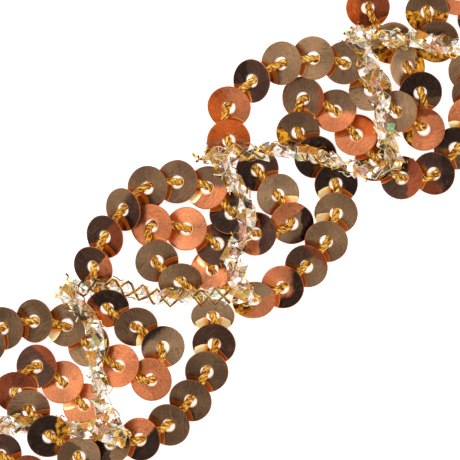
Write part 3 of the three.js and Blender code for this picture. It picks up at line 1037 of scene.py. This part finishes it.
def edgeThread(leg, side, dice, made):
    crush = leg["crush"]
    line, reached = [], -braid["overlap"]
    while reached < leg["length"] + braid["overlap"]:
        wave = math.cos(2 * math.pi * reached / (braid["pitch"] / edging["wavesPerPitch"]))
        aside = side * (braid["half"] - edging["inside"] + edging["wave"] * wave)
        aside += dice.uniform(-1, 1) * raised(crush, *edging["stray"])
        line.append(spot(leg, reached, aside, edging["lift"] + dice.uniform(0, edging["rise"])))
        reached += edging["step"]
        if len(line) > edging["least"] and dice.random() > edging["longer"]:
            tint = dice.choice(edging["tints"])
            if dice.random() < edging["shown"] + crush:
                flatThread(line, edging["width"], [(1.0, [tint])], made, dice)
            reached += dice.uniform(*edging["gap"])
            line = []


# the loose ends at each notch
tails = {
    "count": 6, "length": (1.5, 3.4), "width": (0.26, 0.44), "spread": 1.2, "offX": 1, "offY": 0.6,
    "swing": 6,
    "parts": 10, "curl": 0.9, "curlStep": 1.9, "sink": 0.09, "lowest": 0.25,
    "tints": ["gold", "bright", "dark", "brown"], "weights": (2, 1, 1, 1),
}


def notchTails(turn, level, dice, made):
    outward = math.copysign(math.pi / 2, turn[1])
    for _ in range(tails["count"]):
        way = outward + dice.uniform(-tails["spread"], tails["spread"])
        length = dice.uniform(*tails["length"])
        x = turn[0] + dice.uniform(-tails["offX"], tails["offX"])
        y = turn[1] + dice.uniform(-tails["offY"], tails["offY"])
        swing = dice.uniform(0, tails["swing"])
        line = []
        for k in range(tails["parts"] + 1):
            bend = way + math.sin(k * tails["curlStep"] + swing) * tails["curl"]
            x += math.cos(bend) * length / tails["parts"]
            y += math.sin(bend) * length / tails["parts"]
            line.append(Vector((x, y, max(level * (1 - k * tails["sink"]), tails["lowest"]))))
        width = dice.uniform(*tails["width"])
        tints = dice.choices(tails["tints"], tails["weights"], k=tails["parts"])
        flatThread(line, width, [(1.0, tints)], made, dice)


sheen = {
    "metal": 0.1, "rough": 0.2, "bump": 0.4, "thrown": 0.5, "unlit": (0, 0, 0),
    "streaks": (2400.0, 2.0, 0.6), "patches": (620.0, 2.0, 0.6), "glints": (1150.0, 1.0),
    "wrinkles": (700.0, 2.0),
    "light": 0.18, "streakLight": 1.2, "patchLight": 0.6, "streakCover": 0.8, "patchCover": 1.2,
    "hues": [(0.32, linear(255, 206, 200)), (0.5, linear(255, 252, 244)), (0.7, linear(222, 244, 226))],
    "hueShare": 0.5,
    # small places where the film throws back the light whole, in white or in green
    "white": linear(255, 255, 252), "whiteEdge": (0.6, 0.64), "whiteSolid": 0.85, "whiteThrown": (0.02, 0.3),
    "green": linear(96, 196, 104), "greenGlints": (0.66, 0.7), "greenPatches": (0.5, 0.46), "greenSolid": 0.8,
    "foldWander": 0.1, "foldSolid": 0.9, "wrinkleEdge": (0.016, 0.006), "wrinkleCover": (0.1, 0.3),
    "wrinkleShare": 0.8,
}


def eitherOf(one, two):
    # how solid two layers are together
    return 1 - (1 - one) * (1 - two)


def filmMaterial():
    material, paint = newMaterial("clear film")
    where = paint.node("TexCoord", None, None, out="Object")
    toOne, toTwo, toThree = axes(attribute(paint, "fold"))
    cover = axes(attribute(paint, "look"))[0]
    streaks = grain(where, *sheen["streaks"])
    patches = grain(where, *sheen["patches"])
    glints = grain(where, *sheen["glints"])
    # painted sheen: the film's colour is lighter and darker in streaks and patches
    light = sheen["light"] + streaks * sheen["streakLight"] + patches * sheen["patchLight"]
    face = dimmed(attribute(paint, "tint"), light)
    hue = paint.node("ValToRGB", {"stops": sheen["hues"]}, {"Fac": patches})
    multiplied = {"data_type": "RGBA", "blend_type": "MULTIPLY"}
    face = paint.node("Mix", multiplied, {0: sheen["hueShare"], 6: face, 7: hue}, out=2)
    white = step(patches, *sheen["whiteEdge"])
    green = step(glints, *sheen["greenGlints"]) * step(patches, *sheen["greenPatches"])
    face = mixed(white, face, colour(sheen["white"]))
    face = mixed(green, face, colour(sheen["green"]))
    sheer = cover * (patches * sheen["patchCover"] + streaks * sheen["streakCover"])
    solid = 1 - (1 - sheer) * (1 - white * sheen["whiteSolid"]) * (1 - green * sheen["greenSolid"])
    # the folds catch the light, painted as highlights, and the metallic yarn behind shows in them, painted in
    # as well; some folds are painted dark as shade
    fold = paint.sum("MINIMUM", paint.sum("MINIMUM", toOne, toTwo), toThree)
    width = film["creaseWidth"]
    crease = step(fold + (streaks - 0.5) * sheen["foldWander"], width, width * 0.5)
    # and each face has finer wrinkles of its own, painted in the same light and dark crease colours
    wrinkle = step((grain(where, *sheen["wrinkles"]) - 0.5).size(), *sheen["wrinkleEdge"])
    wrinkle = wrinkle * step(cover, *sheen["wrinkleCover"])
    crease = eitherOf(crease, wrinkle * sheen["wrinkleShare"])
    face = mixed(crease, face, attribute(paint, "crease"))
    solid = eitherOf(solid, crease * sheen["foldSolid"])
    # light goes through the film's upper and lower face, and each stops its share of it
    solid = 1 - (1 - solid) ** 0.5
    # the painted white glints also glow, so that they stay white in shade
    thrown = mixed(white * step(cover, *sheen["whiteThrown"]), colour(sheen["unlit"]), colour(sheen["white"]))
    shader = paint.node("BsdfPrincipled", None, {
        "Base Color": face, "Metallic": sheen["metal"], "Roughness": sheen["rough"],
        "Normal": bumped(streaks, sheen["bump"]), "Alpha": solid,
        "Emission Color": thrown, "Emission Strength": sheen["thrown"],
    })
    finish(paint, shader)
    return material


def threadMaterial():
    material, paint = newMaterial("flat gold thread")
    where = paint.node("TexCoord", None, None, out="Object")
    streaks = grain(where, *flat["streaks"])
    flecks = step(grain(where, *flat["flecks"]), *flat["fleckEdge"])
    # painted glints: the flecks make the thread brighter in small spots, on top of its streaks
    light = flat["light"] + streaks * flat["streakLight"] + flecks * flat["fleckLight"]
    shader = paint.node("BsdfPrincipled", None, {
        "Base Color": dimmed(attribute(paint, "tint"), light), "Metallic": flat["metal"],
        "Roughness": flat["rough"], "Normal": bumped(streaks, flat["bump"]),
    })
    finish(paint, shader)
    return material


made = newFacets()
for leg in legs:
    for layer in range(film["layers"]):
        filmStrip(leg, layer * math.pi, dice, made)
filmPiece = meshPiece("braid_film", *thickened(made, film["thickness"]), filmMaterial(), False, "CORNER")
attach(filmPiece, "root")
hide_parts("film_braid")

made = newFacets()
for leg in legs:
    for phase in crossed["phases"]:
        crossThread(leg, phase, dice, made)
    for side in (-1, 1):
        edgeThread(leg, side, dice, made)
for row, leg in zip(braidLegs[1:-1], legs[1:]):
    notchTails(row["points"][0], leg["heights"][0], dice, made)
threads = thickened(made, flat["thickness"])
threadPiece = meshPiece("braid_threads", *threads, threadMaterial(), False, "CORNER")
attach(threadPiece, "root")
print("film braid made,", len(legs), "legs,", round(sum(leg["length"] for leg in legs)), "mm")


# Floor and light.

studio = {
    "floor": 0.8, "white": 0.94, "rough": 0.9, "glow": 0.75, "world": 0.84,
    "key": {"energy": 1.9, "size": 0.9, "location": (-0.15, 0.5, 0.6)},
    "fill": {"energy": 0.8, "size": 0.5, "location": (0.45, -0.35, 0.5)},
}


def makeFloor():
    material, paint = newMaterial("floor")
    white = colour((studio["white"],) * 3)
    finish(paint, paint.node("BsdfPrincipled", None, {
        "Base Color": white, "Roughness": studio["rough"], "Emission Color": white,
        "Emission Strength": studio["glow"],
    }))
    size = studio["floor"]
    mesh = bpy.data.meshes.new("floor")
    corners = [(-size, -size, 0), (size, -size, 0), (size, size, 0), (-size, size, 0)]
    mesh.from_pydata(corners, [], [(0, 1, 2, 3)])
    mesh.materials.append(material)
    floor = bpy.data.objects.new("floor", mesh)
    bpy.context.scene.collection.objects.link(floor)


def makeLight(name):
    wanted = studio[name]
    data = bpy.data.lights.new(name, "AREA")
    data.energy = wanted["energy"]
    data.size = wanted["size"]
    light = bpy.data.objects.new(name, data)
    light.location = wanted["location"]
    light.rotation_euler = (-Vector(wanted["location"])).to_track_quat("-Z", "Y").to_euler()
    bpy.context.scene.collection.objects.link(light)


def makeWorld():
    world = bpy.data.worlds.new("studio")
    world.use_nodes = True
    background = world.node_tree.nodes["Background"]
    background.inputs["Color"].default_value = (1, 1, 1, 1)
    background.inputs["Strength"].default_value = studio["world"]
    bpy.context.scene.world = world


makeFloor()
makeLight("key")
makeLight("fill")
makeWorld()
bpy.context.scene.view_settings.view_transform = "Standard"
print("floor and light made")
